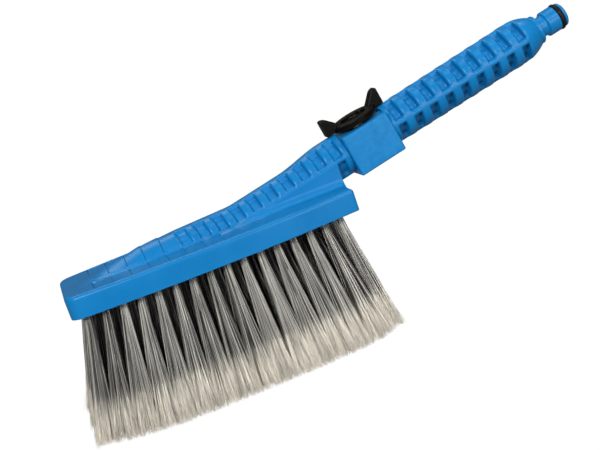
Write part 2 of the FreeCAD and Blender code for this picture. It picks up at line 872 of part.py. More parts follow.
def make_plug_seals():
    """Rings in the plug's grooves, just clear of the housing's bore."""
    middle = amount("plug_groove_near + plug_groove_far") / 2
    outer = "(sizes.plug_bore_radius - 0.02)"
    inner = "(sizes.plug_groove_radius + 0.01)"
    centre = f"({outer} + {inner}) / 2"
    section = f"({outer} - {inner}) / 2"
    make_ring("plug_upper_o_ring", centre, section, valve_place(middle))
    make_ring("plug_lower_o_ring", centre, section, valve_place(-middle))


def make_spigot_seals():
    """Rings in the spigots' grooves, inside the neck's and the grip's sockets."""
    middle = amount("spigot_groove_start + spigot_groove_end") / 2
    outer = "(sizes.socket_radius - 0.01)"
    inner = "(sizes.spigot_groove_radius + 0.01)"
    centre = f"({outer} + {inner}) / 2"
    section = f"({outer} - {inner}) / 2"
    make_ring("neck_o_ring", centre, section, across_handle(size("box_start") - middle))
    make_ring("grip_o_ring", centre, section, across_handle(size("box_end") + middle))


def make_port_seal(name, side):
    """A sleeve seat whose inner end is hollowed to the plug's curve."""
    outer = document.addObject("Part::Cylinder", name + "_outside")
    outer.setExpression("Radius", "sizes.seat_radius")
    outer.setExpression("Height", "sizes.seat_half_span - 0.05")
    inner = document.addObject("Part::Cylinder", name + "_inside")
    inner.setExpression("Radius", "sizes.water_radius")
    inner.setExpression("Height", "sizes.seat_half_span + 1")
    sleeve = document.addObject("Part::Cut", name + "_sleeve")
    sleeve.Base = outer
    sleeve.Tool = inner
    plug = document.addObject("Part::Cylinder", name + "_plug_room")
    plug.setExpression("Radius", "sizes.plug_radius + 0.03")
    plug.setExpression("Height", "4 * sizes.seat_radius")
    lay_across = FreeCAD.Rotation(FreeCAD.Vector(0, 1, 0), 90)
    plug.Placement = FreeCAD.Placement(FreeCAD.Vector(-2 * size("seat_radius"), 0, 0), lay_across)
    seat = document.addObject("Part::Cut", name)
    seat.Base = sleeve
    seat.Tool = plug
    turn = FreeCAD.Placement(FreeCAD.Vector(), FreeCAD.Rotation(FreeCAD.Vector(0, 1, 0), 90 * side))
    keep(seat, name, valve_place().multiply(turn))


def make_retaining_clip():
    """An internal circlip with two eyes, lying in the housing's groove over the plug."""
    thickness = amount("clip_groove_end - clip_groove_start") - 0.1
    outer = size("clip_groove_radius") - 0.05
    inner = size("plug_radius") - size("clip_lap")
    opening = size("clip_opening")
    eye_radius = size("clip_eye_radius")
    eye_hole = size("clip_eye_hole")
    ring = Part.makeCylinder(outer, thickness).cut(Part.makeCylinder(inner, thickness))
    ring = ring.cut(box_between((-opening / 2, 0, -1), (opening / 2, outer + 1, 3)))
    holes = []
    for side in (-1, 1):
        centre = FreeCAD.Vector(side * (opening / 2 + 1.0), inner - 0.4, 0)
        ring = ring.fuse(Part.makeCylinder(eye_radius, thickness, centre))
        holes.append(Part.makeCylinder(eye_hole, thickness * 3, centre - FreeCAD.Vector(0, 0, thickness)))
    feature = document.addObject("Part::Feature", "plug_retaining_clip")
    feature.Shape = ring.cut(Part.makeCompound(holes)).removeSplitter()
    keep(feature, "plug_retaining_clip", valve_place(size("clip_groove_start") + 0.05))


# ---------------------------------------------------------------- grip and hose nipple

def make_handle_grip():
    body = new_body("handle_grip")
    revolve(body, "grip", [
        ("box_end", "0"),
        ("box_end", "handle_radius"),
        ("grip_shoulder", "grip_end_radius"),
        ("grip_end - 0.6", "grip_end_tip_radius"),
        ("grip_end", "grip_end_tip_radius - 0.8"),
        ("grip_end", "0"),
    ])
    turned = body.Tip
    shoulder = [f"Edge{index + 1}" for index, edge in enumerate(turned.Shape.Edges)
                if abs(edge.BoundBox.YLength - 2 * size("grip_end_radius")) < 0.01
                and edge.BoundBox.XLength < 0.01]
    dome = body.newObject("PartDesign::Fillet", "shoulder_round")
    dome.Base = (turned, shoulder)
    dome.setExpression("Radius", formula("grip_shoulder_round"))
    document.recompute()
    groove(body, "grip_bore", [[
        ("box_end - 1", "0"),
        ("box_end - 1", "socket_radius"),
        ("box_end + spigot_length + socket_spare", "socket_radius"),
        ("box_end + spigot_length + socket_spare", "grip_bore_radius"),
        ("nipple_tail - 0.1", "grip_bore_radius"),
        ("nipple_tail - 0.1", "nipple_socket_radius"),
        ("grip_end + 1", "nipple_socket_radius"),
        ("grip_end + 1", "0"),
    ]])
    outlines = []
    for turn in range(9):
        start = f"grip_first_pocket + {turn}*ring_pitch"
        end = start + " + ring_pitch - ring_thickness"
        outlines.append(box_outline(start, end, "grip_pocket_floor", "grip_end_radius + 1"))
    quarter = FreeCAD.Placement(FreeCAD.Vector(), FreeCAD.Rotation(FreeCAD.Vector(1, 0, 0), 45))
    rib_angle = math.degrees(size("rib_width") / size("handle_radius"))
    cut = groove(body, "grip_pockets", outlines, 90 - rib_angle, quarter)
    before = body.Shape.Volume
    pattern = body.newObject("PartDesign::PolarPattern", "grip_pocket_quarters")
    pattern.Originals = [cut]
    pattern.Axis = (origin_feature(body, "X_Axis"), [""])
    pattern.Angle = 360
    pattern.Occurrences = 4
    body.Tip = pattern
    document.recompute()
    if body.Shape.Volume > before - 1:
        raise RuntimeError("the grip's pockets are not repeated round it")
    keep(body, "handle_grip", handle_place())


def make_hose_nipple():
    body = new_body("hose_nipple")
    revolve(body, "nipple", [
        ("nipple_tail", "nipple_core_radius"),
        ("nipple_tail", "nipple_tail_radius"),
        ("seal_groove_start", "nipple_tail_radius"),
        ("seal_groove_start", "seal_groove_radius"),
        ("seal_groove_end", "seal_groove_radius"),
        ("seal_groove_end", "nipple_tail_radius"),
        ("grip_end", "nipple_tail_radius"),
        ("grip_end", "flange_radius"),
        ("flange_end - 0.6", "flange_radius"),
        ("flange_end", "flange_radius - 0.6"),
        ("flange_end", "waist_radius"),
        ("waist_end", "waist_radius"),
        ("collar_start", "collar_radius"),
        ("ring_groove_start", "collar_radius"),
        ("ring_groove_start", "ring_groove_radius"),
        ("ring_groove_end", "ring_groove_radius"),
        ("ring_groove_end", "nose_radius"),
        ("nose_end", "nose_radius"),
        ("nipple_end", "nipple_end_radius"),
        ("nipple_end", "nipple_bore_radius"),
        ("nipple_bore_start", "nipple_bore_radius"),
        ("nipple_bore_start", "nipple_core_radius"),
    ])
    keep(body, "hose_nipple", handle_place())


def make_nipple_seals():
    middle = amount("ring_groove_start + ring_groove_end") / 2
    width = "(sizes.ring_groove_end - sizes.ring_groove_start)"
    section = f"({width} - 0.4) / 2"
    make_ring("nipple_o_ring", f"sizes.ring_groove_radius + 0.01 + {section}", section, across_handle(middle))
    middle = amount("seal_groove_start + seal_groove_end") / 2
    outer = "(sizes.nipple_socket_radius - 0.01)"
    inner = "(sizes.seal_groove_radius + 0.01)"
    make_ring("nipple_seal", f"({outer} + {inner}) / 2", f"({outer} - {inner}) / 2", across_handle(middle))


# ---------------------------------------------------------------- whole brush

def stand_on_tips():
    """Move every sub-part so that the origin is under the middle of the brush, on its tips."""
    box = FreeCAD.BoundBox()
    for item in SUBPARTS:
        box.add(item.Shape.optimalBoundingBox(False, False))
    shift = FreeCAD.Vector(-box.Center.x, -box.Center.y, -box.ZMin)
    for item in SUBPARTS:
        place = item.Placement
        place.Base = place.Base + shift
        item.Placement = place
    document.recompute()
    print("shift", round(shift.x, 3), round(shift.y, 3), round(shift.z, 3))
    print("size", round(box.XLength, 2), round(box.YLength, 2), round(box.ZLength, 2))


def check_and_export():
    for item in document.Objects:
        if "Invalid" in item.State or "Error" in item.State:
            raise RuntimeError(item.Label + " failed: " + str(item.State))
    for item in SUBPARTS:
        if item.Shape.isNull() or not item.Shape.isValid():
            raise RuntimeError(item.Label + " has no valid shape")
    os.makedirs("parts", exist_ok=True)
    for item in SUBPARTS:
        item.Shape.exportStep("parts/" + item.Label + ".step")
        print(item.Label, "solids", len(item.Shape.Solids), "volume", round(item.Shape.Volume, 1))


make_head_shell()
make_bristle_plate()
make_tuft_rows()
make_tuft_anchors()
make_valve_body()
make_valve_plug()
make_valve_knob()
make_knob_screw()
make_plug_seals()
make_spigot_seals()
make_port_seal("outlet_port_seal", -1)
make_port_seal("inlet_port_seal", 1)
make_retaining_clip()
make_handle_grip()
make_hose_nipple()
make_nipple_seals()
document.recompute()
stand_on_tips()
check_and_export()
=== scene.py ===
import math

import bmesh
import bpy
import numpy as np
from mathutils import Matrix, Vector


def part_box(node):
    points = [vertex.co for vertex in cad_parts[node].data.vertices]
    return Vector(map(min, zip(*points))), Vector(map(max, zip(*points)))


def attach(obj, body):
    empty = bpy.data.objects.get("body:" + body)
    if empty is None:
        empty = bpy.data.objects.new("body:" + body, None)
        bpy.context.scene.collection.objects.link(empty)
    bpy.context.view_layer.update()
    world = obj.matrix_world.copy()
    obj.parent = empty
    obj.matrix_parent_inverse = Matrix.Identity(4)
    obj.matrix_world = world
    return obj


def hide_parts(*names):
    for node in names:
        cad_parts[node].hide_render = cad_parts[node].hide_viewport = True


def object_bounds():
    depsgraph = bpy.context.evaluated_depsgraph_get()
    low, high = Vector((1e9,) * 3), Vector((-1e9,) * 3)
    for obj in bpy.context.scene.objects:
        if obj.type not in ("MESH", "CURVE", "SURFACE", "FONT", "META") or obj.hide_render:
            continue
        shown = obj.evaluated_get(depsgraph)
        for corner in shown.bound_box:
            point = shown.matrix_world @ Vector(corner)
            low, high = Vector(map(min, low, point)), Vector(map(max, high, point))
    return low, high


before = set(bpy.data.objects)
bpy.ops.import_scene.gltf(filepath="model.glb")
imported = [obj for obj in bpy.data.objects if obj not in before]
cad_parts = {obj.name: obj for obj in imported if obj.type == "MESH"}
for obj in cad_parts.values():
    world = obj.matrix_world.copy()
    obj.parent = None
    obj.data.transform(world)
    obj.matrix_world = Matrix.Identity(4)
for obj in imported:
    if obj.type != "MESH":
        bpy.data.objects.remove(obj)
CAD_LOW, CAD_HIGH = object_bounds()

# Water-fed wash brush.  Shapes are written as distance fields in millimetres.
# Head frame: X from the block's free end, Z = 0 at the block's top.
# Handle frame: "along" runs up the handle from over the block's handle end, "up" is square to it.

MM = 0.001
BLOCK_LENGTH = 179.0
BLOCK_DEPTH = 13.6
HALF_WIDTH = 31.0
SIDE_BULGE = 7.0
TILT = math.radians(11.63)
SLOPE = math.tan(TILT)
COS, SIN = math.cos(TILT), math.sin(TILT)
AXIS_HEIGHT = 14.58
NECK_RADIUS = 13.4
SPINE_HALF = 10.4
RING_PITCH = 11.5
RING_THICKNESS = 5.2
POCKET_LENGTH = RING_PITCH - RING_THICKNESS
CELL_LENGTH = (RING_PITCH - 0.6) * COS
FOOT_BAND = 1.1
RIB_HALF = 1.6
CREST_HALF = 4.2
BOX_START = 9.2
BOX_END = 41.0
VALVE_CENTRE = 25.1

HEAD_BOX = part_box("head_shell")
HEAD_X = HEAD_BOX[0].x
HEAD_Z = HEAD_BOX[0].z + BLOCK_DEPTH * MM

HEAD_PLACE = Matrix.Translation((HEAD_X, 0, HEAD_Z)) @ Matrix.Scale(MM, 4)
HANDLE_PLACE = (HEAD_PLACE @ Matrix.Translation((BLOCK_LENGTH, 0, AXIS_HEIGHT))
                @ Matrix.Rotation(-TILT, 4, "Y"))
VALVE_PLACE = HANDLE_PLACE @ Matrix.Translation((VALVE_CENTRE, 0, 0))


# ---------------------------------------------------------------- camera, lights and floor

def make_camera():
    camera = bpy.data.cameras.new("camera")
    camera.sensor_width = 36.0
    camera.lens = 72.0
    camera.clip_end = 20.0
    item = bpy.data.objects.new("camera", camera)
    turn = (Matrix.Rotation(math.radians(-10.65), 4, "Z") @ Matrix.Rotation(math.radians(77.86), 4, "X")
            @ Matrix.Rotation(math.radians(-19.07), 4, "Z"))
    stand = HEAD_PLACE @ Vector((15.07, -704.67, 138.57))
    item.matrix_world = Matrix.Translation(stand) @ turn
    bpy.context.scene.collection.objects.link(item)
    bpy.context.scene.camera = item


def area_light(name, place, target, width, height, power, colour=(1.0, 1.0, 1.0)):
    lamp = bpy.data.lights.new(name, "AREA")
    lamp.shape = "RECTANGLE"
    lamp.size = width
    lamp.size_y = height
    lamp.energy = power
    lamp.color = colour
    item = bpy.data.objects.new(name, lamp)
    item.location = place
    item.rotation_euler = (Vector(target) - Vector(place)).to_track_quat("-Z", "Y").to_euler()
    bpy.context.scene.collection.objects.link(item)


def make_studio():
    bpy.context.scene.view_settings.view_transform = "Standard"
    world = bpy.data.worlds.new("studio")
    bpy.context.scene.world = world
    world.use_nodes = True
    tree = world.node_tree
    tree.nodes.clear()
    output = tree.nodes.new("ShaderNodeOutputWorld")
    mix = tree.nodes.new("ShaderNodeMixShader")
    path = tree.nodes.new("ShaderNodeLightPath")
    seen = tree.nodes.new("ShaderNodeBackground")
    seen.inputs["Color"].default_value = (1.0, 1.0, 1.0, 1.0)
    seen.inputs["Strength"].default_value = 1.05
    soft = tree.nodes.new("ShaderNodeBackground")
    soft.inputs["Color"].default_value = (1.0, 1.0, 1.0, 1.0)
    soft.inputs["Strength"].default_value = 0.13
    tree.links.new(path.outputs["Is Camera Ray"], mix.inputs["Fac"])
    tree.links.new(soft.outputs[0], mix.inputs[1])
    tree.links.new(seen.outputs[0], mix.inputs[2])
    tree.links.new(mix.outputs[0], output.inputs["Surface"])
    middle = (0.0, 0.0, 0.08)
    area_light("top_light", (0.12, -0.2, 1.2), middle, 0.4, 0.4, 1.4)
    area_light("key_light", (-1.2, -2.08, 1.28), middle, 0.6, 0.6, 66.0)
    area_light("front_fill", (0.55, -1.4, 0.3), middle, 0.5, 0.5, 7.0)
    area_light("end_light", (0.55, -0.75, 0.75), (0.16, 0.0, 0.13), 0.15, 0.15, 2.2)
    area_light("grip_light", (0.35, 0.08, 0.6), (0.14, 0.0, 0.13), 0.12, 0.12, 0.5)
    area_light("back_light", (-0.2, 0.8, 1.3), middle, 0.8, 0.6, 5.0)


def make_floor():
    mesh = bpy.data.meshes.new("floor")
    half = 8.0
    mesh.from_pydata([(-half, -half, 0), (half, -half, 0), (half, half, 0), (-half, half, 0)], [],
                     [(0, 1, 2, 3)])
    item = bpy.data.objects.new("floor", mesh)
    item.location = (0, 0, CAD_LOW.z - 0.0012)
    bpy.context.scene.collection.objects.link(item)
    made = bpy.data.materials.new("floor_white")
    made.use_nodes = True
    tree = made.node_tree
    tree.nodes.clear()
    output = tree.nodes.new("ShaderNodeOutputMaterial")
    path = tree.nodes.new("ShaderNodeLightPath")
    seen = tree.nodes.new("ShaderNodeMixShader")
    seen.inputs["Fac"].default_value = 0.1
    either = tree.nodes.new("ShaderNodeMixShader")
    glow = tree.nodes.new("ShaderNodeEmission")
    glow.inputs["Strength"].default_value = 1.12
    dull = tree.nodes.new("ShaderNodeBsdfDiffuse")
    dull.inputs["Color"].default_value = (0.25, 0.25, 0.25, 1.0)
    tree.links.new(glow.outputs[0], seen.inputs[1])
    tree.links.new(dull.outputs[0], seen.inputs[2])
    tree.links.new(path.outputs["Is Camera Ray"], either.inputs["Fac"])
    tree.links.new(dull.outputs[0], either.inputs[1])
    tree.links.new(seen.outputs[0], either.inputs[2])
    tree.links.new(either.outputs[0], output.inputs["Surface"])
    mesh.materials.append(made)


# ---------------------------------------------------------------- materials

class Nodes:
    """A material's node tree with short calls for the nodes used here."""

    def __init__(self, name):
        self.material = bpy.data.materials.new(name)
        self.material.use_nodes = True
        self.tree = self.material.node_tree
        self.shader = self.tree.nodes["Principled BSDF"]

    def link(self, out, into):
        self.tree.links.new(out, into)

    def add(self, kind, **values):
        node = self.tree.nodes.new(kind)
        for key, value in values.items():
            setattr(node, key, value)
        return node

    def place(self, scale=(1.0, 1.0, 1.0)):
        """Object coordinates, stretched per axis."""
        source = self.add("ShaderNodeTexCoord")
        mapping = self.add("ShaderNodeMapping")
        mapping.inputs["Scale"].default_value = scale
        self.link(source.outputs["Object"], mapping.inputs["Vector"])
        return mapping.outputs["Vector"]

    def noise(self, scale, detail=3.0, rough=0.5, stretch=(1.0, 1.0, 1.0)):
        node = self.add("ShaderNodeTexNoise")
        node.inputs["Scale"].default_value = scale
        node.inputs["Detail"].default_value = detail
        node.inputs["Roughness"].default_value = rough
        self.link(self.place(stretch), node.inputs["Vector"])
        return node.outputs["Fac"]

    def ramp(self, source, stops):
        node = self.add("ShaderNodeValToRGB")
        elements = node.color_ramp.elements
        while len(elements) < len(stops):
            elements.new(0.5)
        for element, (position, colour) in zip(elements, stops):
            element.position = position
            element.color = (*colour, 1.0)
        self.link(source, node.inputs["Fac"])
        return node.outputs["Color"]

    def span(self, source, low, high, start=0.0, end=1.0):
        """A value carried from one range to another, held at its ends."""
        node = self.add("ShaderNodeMapRange")
        node.inputs["From Min"].default_value = low
        node.inputs["From Max"].default_value = high
        node.inputs["To Min"].default_value = start
        node.inputs["To Max"].default_value = end
        self.link(source, node.inputs["Value"])
        return node.outputs["Result"]

    def math(self, kind, first, second):
        node = self.add("ShaderNodeMath", operation=kind)
        for socket, value in zip(node.inputs, (first, second)):
            if isinstance(value, float):
                socket.default_value = value
            else:
                self.link(value, socket)
        return node.outputs[0]

    def mix(self, share, first, second, kind="MIX"):
        node = self.add("ShaderNodeMix", data_type="RGBA", blend_type=kind)
        for socket, value in ((node.inputs[0], share), (node.inputs[6], first), (node.inputs[7], second)):
            if isinstance(value, tuple):
                socket.default_value = (*value, 1.0)
            elif isinstance(value, float):
                socket.default_value = value
            else:
                self.link(value, socket)
        return node.outputs[2]

    def bump(self, height, distance, strength=1.0, after=None):
        node = self.add("ShaderNodeBump")
        node.inputs["Strength"].default_value = strength
        node.inputs["Distance"].default_value = distance
        self.link(height, node.inputs["Height"])
        if after is not None:
            self.link(after, node.inputs["Normal"])
        return node.outputs["Normal"]

    def edges(self, low, high):
        """Where the surface is convex: the pointiness of its corners."""
        geometry = self.add("ShaderNodeNewGeometry")
        return self.span(geometry.outputs["Pointiness"], low, high)

    def wire(self, **sockets):
        for name, source in sockets.items():
            socket = self.shader.inputs[name.replace("_", " ").title().replace("Ior", "IOR")]
            if isinstance(source, (int, float)):
                socket.default_value = source
            elif isinstance(source, tuple):
                socket.default_value = (*source, 1.0)
            else:
                self.link(source, socket)


def moulded_plastic(name, deep, bright, worn_and_sheen, roughness, shine=0.27, mottle=0.5):
    """Injection-moulded plastic: cloudy pigment, fine skin grain, flow lines, and convex edges in a lighter
    colour that is partly rubbed wear and partly a painted highlight.
    """
    made = Nodes(name)
    cloud = made.noise(38.0, 4.0, 0.55)
    flow = made.noise(14.0, 3.0, 0.5, (1.0, 6.0, 6.0))
    both = made.math("ADD", made.math("MULTIPLY", cloud, 0.6), made.math("MULTIPLY", flow, 0.4))
    base = made.ramp(both, [(0.5 - mottle * 0.3, deep), (0.5 + mottle * 0.3, bright)])
    # Convex edges take the edge colour: partly rubbed wear, partly a painted highlight along the rounded
    # edges.
    rub_and_sheen = made.math("MULTIPLY", made.edges(0.51, 0.56), made.span(made.noise(260.0, 4.0), 0.35, 0.7))
    colour = made.mix(made.math("MULTIPLY", rub_and_sheen, 0.55), base, worn_and_sheen)
    grain = made.noise(2600.0, 2.0, 0.6)
    streak = made.noise(420.0, 3.0, 0.6, (1.0, 9.0, 9.0))
    rough = made.span(made.math("ADD", made.math("MULTIPLY", cloud, 0.5), made.math("MULTIPLY", streak, 0.5)),
                      0.3, 0.7, roughness - 0.06, roughness + 0.08)
    fine = made.bump(grain, 0.00003, 0.35)
    wave = made.bump(made.noise(70.0, 2.0), 0.0003, 0.1, fine)
    made.wire(base_color=colour, roughness=rough, normal=wave)
    made.shader.inputs["Specular IOR Level"].default_value = shine
    return made.material


def rubber(name):
    made = Nodes(name)
    base = made.ramp(made.noise(180.0, 4.0), [(0.35, (0.003, 0.003, 0.003)), (0.7, (0.009, 0.0085, 0.008))])
    made.wire(base_color=base, roughness=made.span(made.noise(500.0), 0.3, 0.7, 0.42, 0.62),
              normal=made.bump(made.noise(3000.0, 2.0), 0.00003, 0.5))
    made.shader.inputs["Specular IOR Level"].default_value = 0.2
    return made.material


def metal(name, dark, bright, roughness):
    """Drawn or turned steel: fine lines round or along the piece."""
    made = Nodes(name)
    lines = made.noise(900.0, 3.0, 0.6, (1.0, 1.0, 14.0))
    made.wire(base_color=made.ramp(lines, [(0.3, dark), (0.7, bright)]), metallic=1.0,
              roughness=made.span(lines, 0.3, 0.7, roughness - 0.08, roughness + 0.1),
              normal=made.bump(lines, 0.00002, 0.4))
    return made.material


def acetal(name):
    made = Nodes(name)
    base = made.ramp(made.noise(60.0, 3.0), [(0.35, (0.68, 0.67, 0.63)), (0.7, (0.79, 0.78, 0.75))])
    made.wire(base_color=base, roughness=made.span(made.noise(700.0), 0.3, 0.7, 0.24, 0.36),
              normal=made.bump(made.noise(1800.0), 0.00003, 0.3))
    made.shader.inputs["Subsurface Weight"].default_value = 0.08
    made.shader.inputs["Subsurface Radius"].default_value = (0.002, 0.002, 0.002)
    return made.material


def bristle_fibre(name):
    """Split-tip fibre: smoky shafts of uneven tone, with painted shade in the inner rows, that turn pale over
    the flagged ends, where a faint glow paints light on them.
    """
    made = Nodes(name)
    along = made.add("ShaderNodeAttribute", attribute_name="along").outputs["Fac"]
    tone = made.add("ShaderNodeAttribute", attribute_name="tone").outputs["Fac"]
    shaft = made.ramp(tone, [(0.0, (0.02, 0.02, 0.018)), (0.3, (0.13, 0.126, 0.116)),
                             (0.6, (0.45, 0.435, 0.4)), (1.0, (0.74, 0.715, 0.66))])
    flag = made.ramp(tone, [(0.0, (0.62, 0.575, 0.49)), (0.4, (0.84, 0.79, 0.69)), (1.0, (0.95, 0.9, 0.8))])
    shift = made.math("ADD", along, made.math("MULTIPLY", tone, 0.1))
    pale = made.span(shift, 0.66, 0.86)
    colour = made.mix(pale, shaft, flag)
    streak = made.noise(240.0, 2.0, 0.5, (1.0, 1.0, 0.08))
    colour = made.mix(made.span(streak, 0.35, 0.7, 0.0, 0.35), colour, (0.03, 0.03, 0.028), "MULTIPLY")
    # The pale ends glow faintly by emission: painted light on the tips.
    made.wire(base_color=colour, roughness=made.span(pale, 0.0, 1.0, 0.36, 0.6), emission_color=colour,
              emission_strength=made.span(pale, 0.0, 1.0, 0.0, 0.05))
    made.shader.inputs["Specular IOR Level"].default_value = 0.3
    return made.material


# ---------------------------------------------------------------- distance fields and their meshes

def meet(first, second, radius):
    """What two fields share, with its edge rounded."""
    side = np.maximum(first + radius, 0.0)
    other = np.maximum(second + radius, 0.0)
    return np.minimum(np.maximum(first, second), -radius) + np.sqrt(side * side + other * other)


def join(first, second, radius):
    """Two fields together, with a fillet between them."""
    return -meet(-first, -second, radius)


def cut(solid, tool, radius):
    """A field with another taken out, and the lip rounded."""
    return meet(solid, -tool, radius)


def slab(values, low, high):
    """Between two parallel planes."""
    return np.abs(values - (low + high) / 2) - (high - low) / 2


def nearest_turn(values, first, pitch, count):
    """Distance from the nearest of a row of evenly spaced places."""
    index = np.clip(np.round((values - first) / pitch), 0, count - 1)
    return values - (first + index * pitch)


def stations(*runs):
    """Grid lines from (start, step) pairs and a last end, closer where the step is small."""
    lines = []
    for (start, step), (end, _) in zip(runs, runs[1:]):
        count = max(int(round((end - start) / step)), 1)
        lines.extend(start + (end - start) * np.arange(count) / count)
    lines.append(runs[-1][0])
    return np.array(lines)


CORNERS = [(i, j, k) for i in (0, 1) for j in (0, 1) for k in (0, 1)]
CELL_EDGES = [(a, b) for a in CORNERS for b in CORNERS
              if a < b and sum(abs(p - q) for p, q in zip(a, b)) == 1]


def surface_net(field, xs, ys, zs):
    """Vertices and quads where the field is zero: one vertex per crossed grid cell."""
    values = field(xs[:, None, None], ys[None, :, None], zs[None, None, :])
    values = np.broadcast_to(values, (len(xs), len(ys), len(zs)))
    inside = values < 0
    shape = tuple(n - 1 for n in inside.shape)
    count = np.zeros(shape, np.int8)
    for i, j, k in CORNERS:
        count += inside[i:i + shape[0], j:j + shape[1], k:k + shape[2]]
    crossed = (count > 0) & (count < 8)
    index = np.full(shape, -1, np.int64)
    index[crossed] = np.arange(int(crossed.sum()))
    ci, cj, ck = np.nonzero(crossed)
    total = np.zeros((len(ci), 3))
    hits = np.zeros(len(ci))
    for a, b in CELL_EDGES:
        va = values[ci + a[0], cj + a[1], ck + a[2]]
        vb = values[ci + b[0], cj + b[1], ck + b[2]]
        flips = (va < 0) != (vb < 0)
        share = np.where(flips, va / np.where(va == vb, 1.0, va - vb), 0.0)
        pa = np.stack([xs[ci + a[0]], ys[cj + a[1]], zs[ck + a[2]]], 1)
        pb = np.stack([xs[ci + b[0]], ys[cj + b[1]], zs[ck + b[2]]], 1)
        total += np.where(flips[:, None], pa + share[:, None] * (pb - pa), 0.0)
        hits += flips
    verts = total / hits[:, None]
    quads = []
    for axis in range(3):
        u, v = (axis + 1) % 3, (axis + 2) % 3
        here = np.moveaxis(inside, (axis, u, v), (0, 1, 2))
        ids = np.moveaxis(index, (axis, u, v), (0, 1, 2))
        flips = here[:-1, 1:-1, 1:-1] != here[1:, 1:-1, 1:-1]
        i, j, k = np.nonzero(flips)
        ring = np.stack([ids[i, j, k], ids[i, j + 1, k], ids[i, j + 1, k + 1], ids[i, j, k + 1]], 1)
        outward = here[:-1, 1:-1, 1:-1][i, j, k]
        quads.append(np.where(outward[:, None], ring, ring[:, ::-1]))
    return verts, np.concatenate(quads)


def slopes(field, points, step=0.03):
    """The field's gradient at points."""
    found = []
    for axis in range(3):
        low, high = points.copy(), points.copy()
        low[:, axis] -= step
        high[:, axis] += step
        found.append((field(*high.T) - field(*low.T)) / (2 * step))
    return np.stack(found, 1)


def settle(field, points, reach):
    """Points moved onto the surface, but not further than a reach."""
    for _ in range(3):
        gradient = slopes(field, points)
        steep = np.maximum((gradient * gradient).sum(1), 0.05)
        move = -gradient * (field(*points.T) / steep)[:, None]
        length = np.sqrt((move * move).sum(1)) + 1e-9
        points = points + move * np.minimum(1.0, reach / length)[:, None]
    return points


def add_piece(name, verts, faces, place, material, normals=None):
    """A mesh object from points in a local frame."""
    matrix = np.array(place)
    moved = verts @ matrix[:3, :3].T + matrix[:3, 3]
    mesh = bpy.data.meshes.new(name)
    mesh.vertices.add(len(moved))
    mesh.vertices.foreach_set("co", moved.astype(np.float32).ravel())
    size = faces.shape[1]
    mesh.loops.add(faces.size)
    mesh.loops.foreach_set("vertex_index", faces.astype(np.int32).ravel())
    mesh.polygons.add(len(faces))
    mesh.polygons.foreach_set("loop_start", np.arange(0, faces.size, size, dtype=np.int32))
    mesh.update(calc_edges=True)
    mesh.validate()
    mesh.polygons.foreach_set("use_smooth", np.ones(len(mesh.polygons), bool))
    if normals is not None:
        turned = normals @ matrix[:3, :3].T
        turned /= np.sqrt((turned * turned).sum(1))[:, None]
        mesh.normals_split_custom_set_from_vertices(turned)
    mesh.materials.append(material)
    item = bpy.data.objects.new(name, mesh)
    bpy.context.scene.collection.objects.link(item)
    return item


def field_piece(name, field, grid, place, material, reach=0.3):
    """A piece from its field: net, then settled, with normals from the field."""
    verts, quads = surface_net(field, *grid)
    verts = settle(field, verts, reach)
    return add_piece(name, verts, quads, place, material, slopes(field, verts))


# ---------------------------------------------------------------- head

SPINE_START = 10.0
SPINE_KNEE = 52.0
SPINE_EXIT = 108.0
FLANK_BASE = 1.6
WEB_HALF = 13.6
WEB_FILLET = 5.0
SHELL_WALL = 2.5
CELL_SPAN = 27.5
TOP_ROUND = 2.2
NECK_BORE = 5.0
SPIGOT_BORE = 7.65
DOME_POWER = 1.8
SPINE_CELLS, BLOCK_CELLS, SPINE_POCKETS = 5, 8, 10
FREE_CORNER, HANDLE_CORNER = 7.0, 2.0


def to_handle(x, z):
    """Handle frame coordinates of a point in the head frame."""
    return ((x - BLOCK_LENGTH) * COS + (z - AXIS_HEIGHT) * SIN,
            (z - AXIS_HEIGHT) * COS - (x - BLOCK_LENGTH) * SIN)


def crest_table():
    """Along the handle: how high the spine's crest runs over the axis, and its sections' half height."""
    xs = np.arange(-20.0, 230.0, 1.0)
    tops = np.interp(xs, [SPINE_START, SPINE_KNEE, SPINE_EXIT], [-0.2, 8.1, 10.7])
    tops = np.where(xs < SPINE_START, -0.8 - (SPINE_START - xs) * 0.19, tops)
    tops = np.where(xs > SPINE_EXIT, AXIS_HEIGHT + (xs - BLOCK_LENGTH) * SLOPE + SPINE_HALF, tops)
    kernel = np.hanning(17)
    smooth = np.convolve(tops, kernel / kernel.sum(), "same")
    tops[12:-12] = smooth[12:-12]
    rises = np.clip(tops + FLANK_BASE, 0.6, SPINE_HALF)
    along, up = to_handle(xs, tops)
    return xs, tops, along, up, rises


CREST_X, CREST_Z, CREST_ALONG, CREST_UP, CREST_RISE = crest_table()


def spine_foot(x):
    """Half the spine's width where it meets the block's top."""
    return np.interp(x, [15.5, 20.0, 30.0, 45.0, 108.0], [11.2, 12.3, 13.0, 13.3, 13.4])


def neck_swell(along):
    share = np.clip((along + 33.0) / 31.0, 0.0, 1.0)
    return share * share * (3 - 2 * share)


def cell_turn(x, count):
    """Distance from the middle of the nearest flat cell on the block's top."""
    return nearest_turn(x, BLOCK_LENGTH + (2.25 - 14 * RING_PITCH) * COS, RING_PITCH * COS, count)


def cell_sink(turn, middle):
    """Cell floors run level with the handle, so each is deep at one end and flush at the other."""
    return middle * (1 - 0.8 * turn / (CELL_LENGTH / 2))


def cut_free_cells(shape, x, z):
    """Flat cells over the spine's low end, down to a narrow band along its foot."""
    turn = cell_turn(x, SPINE_CELLS)
    cell = meet(np.abs(turn) - CELL_LENGTH / 2, FOOT_BAND - z, 0.15)
    return cut(shape, meet(cell, -shape - cell_sink(turn, 0.26), 0.1), 0.12)


